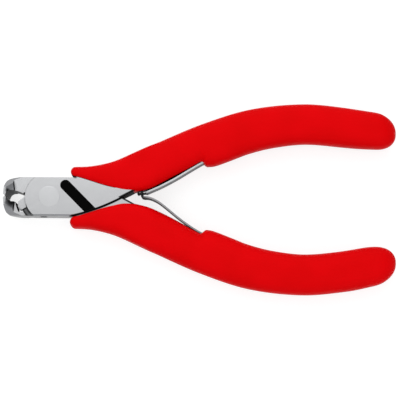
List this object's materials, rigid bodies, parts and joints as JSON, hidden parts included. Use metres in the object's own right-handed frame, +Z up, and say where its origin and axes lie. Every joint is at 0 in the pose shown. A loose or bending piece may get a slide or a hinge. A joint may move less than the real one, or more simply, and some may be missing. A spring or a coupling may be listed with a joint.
{
  "type": "flush cutter",
  "caption": "Small end-cutting flush cutter for electronics: box-jointed steel levers on a rivet, flared jaws, red sleeves and a hooked pair of leaf springs.",
  "frame": {"origin": "middle of the shut tool's footprint, on the plane it lies on", "axes": "+X from the jaws to the grips, +Y to the upper handle, +Z up, out of the front cheek"},
  "size_m": [0.115, 0.0564, 0.0114],
  "materials": {
    "polished_steel": "mirror-polished tool steel",
    "rivet_steel": "ground flush with the cheek",
    "red_sleeve": "smooth semi-gloss moulded PVC",
    "spring_steel": "bright spring steel"
  },
  "bodies": {
    "box_half": {"box_lever": "polished_steel", "joint_rivet": "rivet_steel", "upper_grip": "red_sleeve", "upper_spring": "spring_steel", "upper_spring_rivet": "rivet_steel"},
    "through_half": {"through_lever": "polished_steel", "lower_grip": "red_sleeve", "lower_spring": "spring_steel", "lower_spring_rivet": "rivet_steel"}
  },
  "joints": [
    {"name": "jaw_pivot", "type": "hinge", "parent": "box_half", "child": "through_half", "pos_m": [-0.0441, 0, 0.0057], "axis": [0, 0, -1], "range_deg": [0, 16], "stiffness_Nm_per_rad": 0.75, "springref_deg": 22.92, "deforming": ["upper_spring", "lower_spring"]}
  ]
}
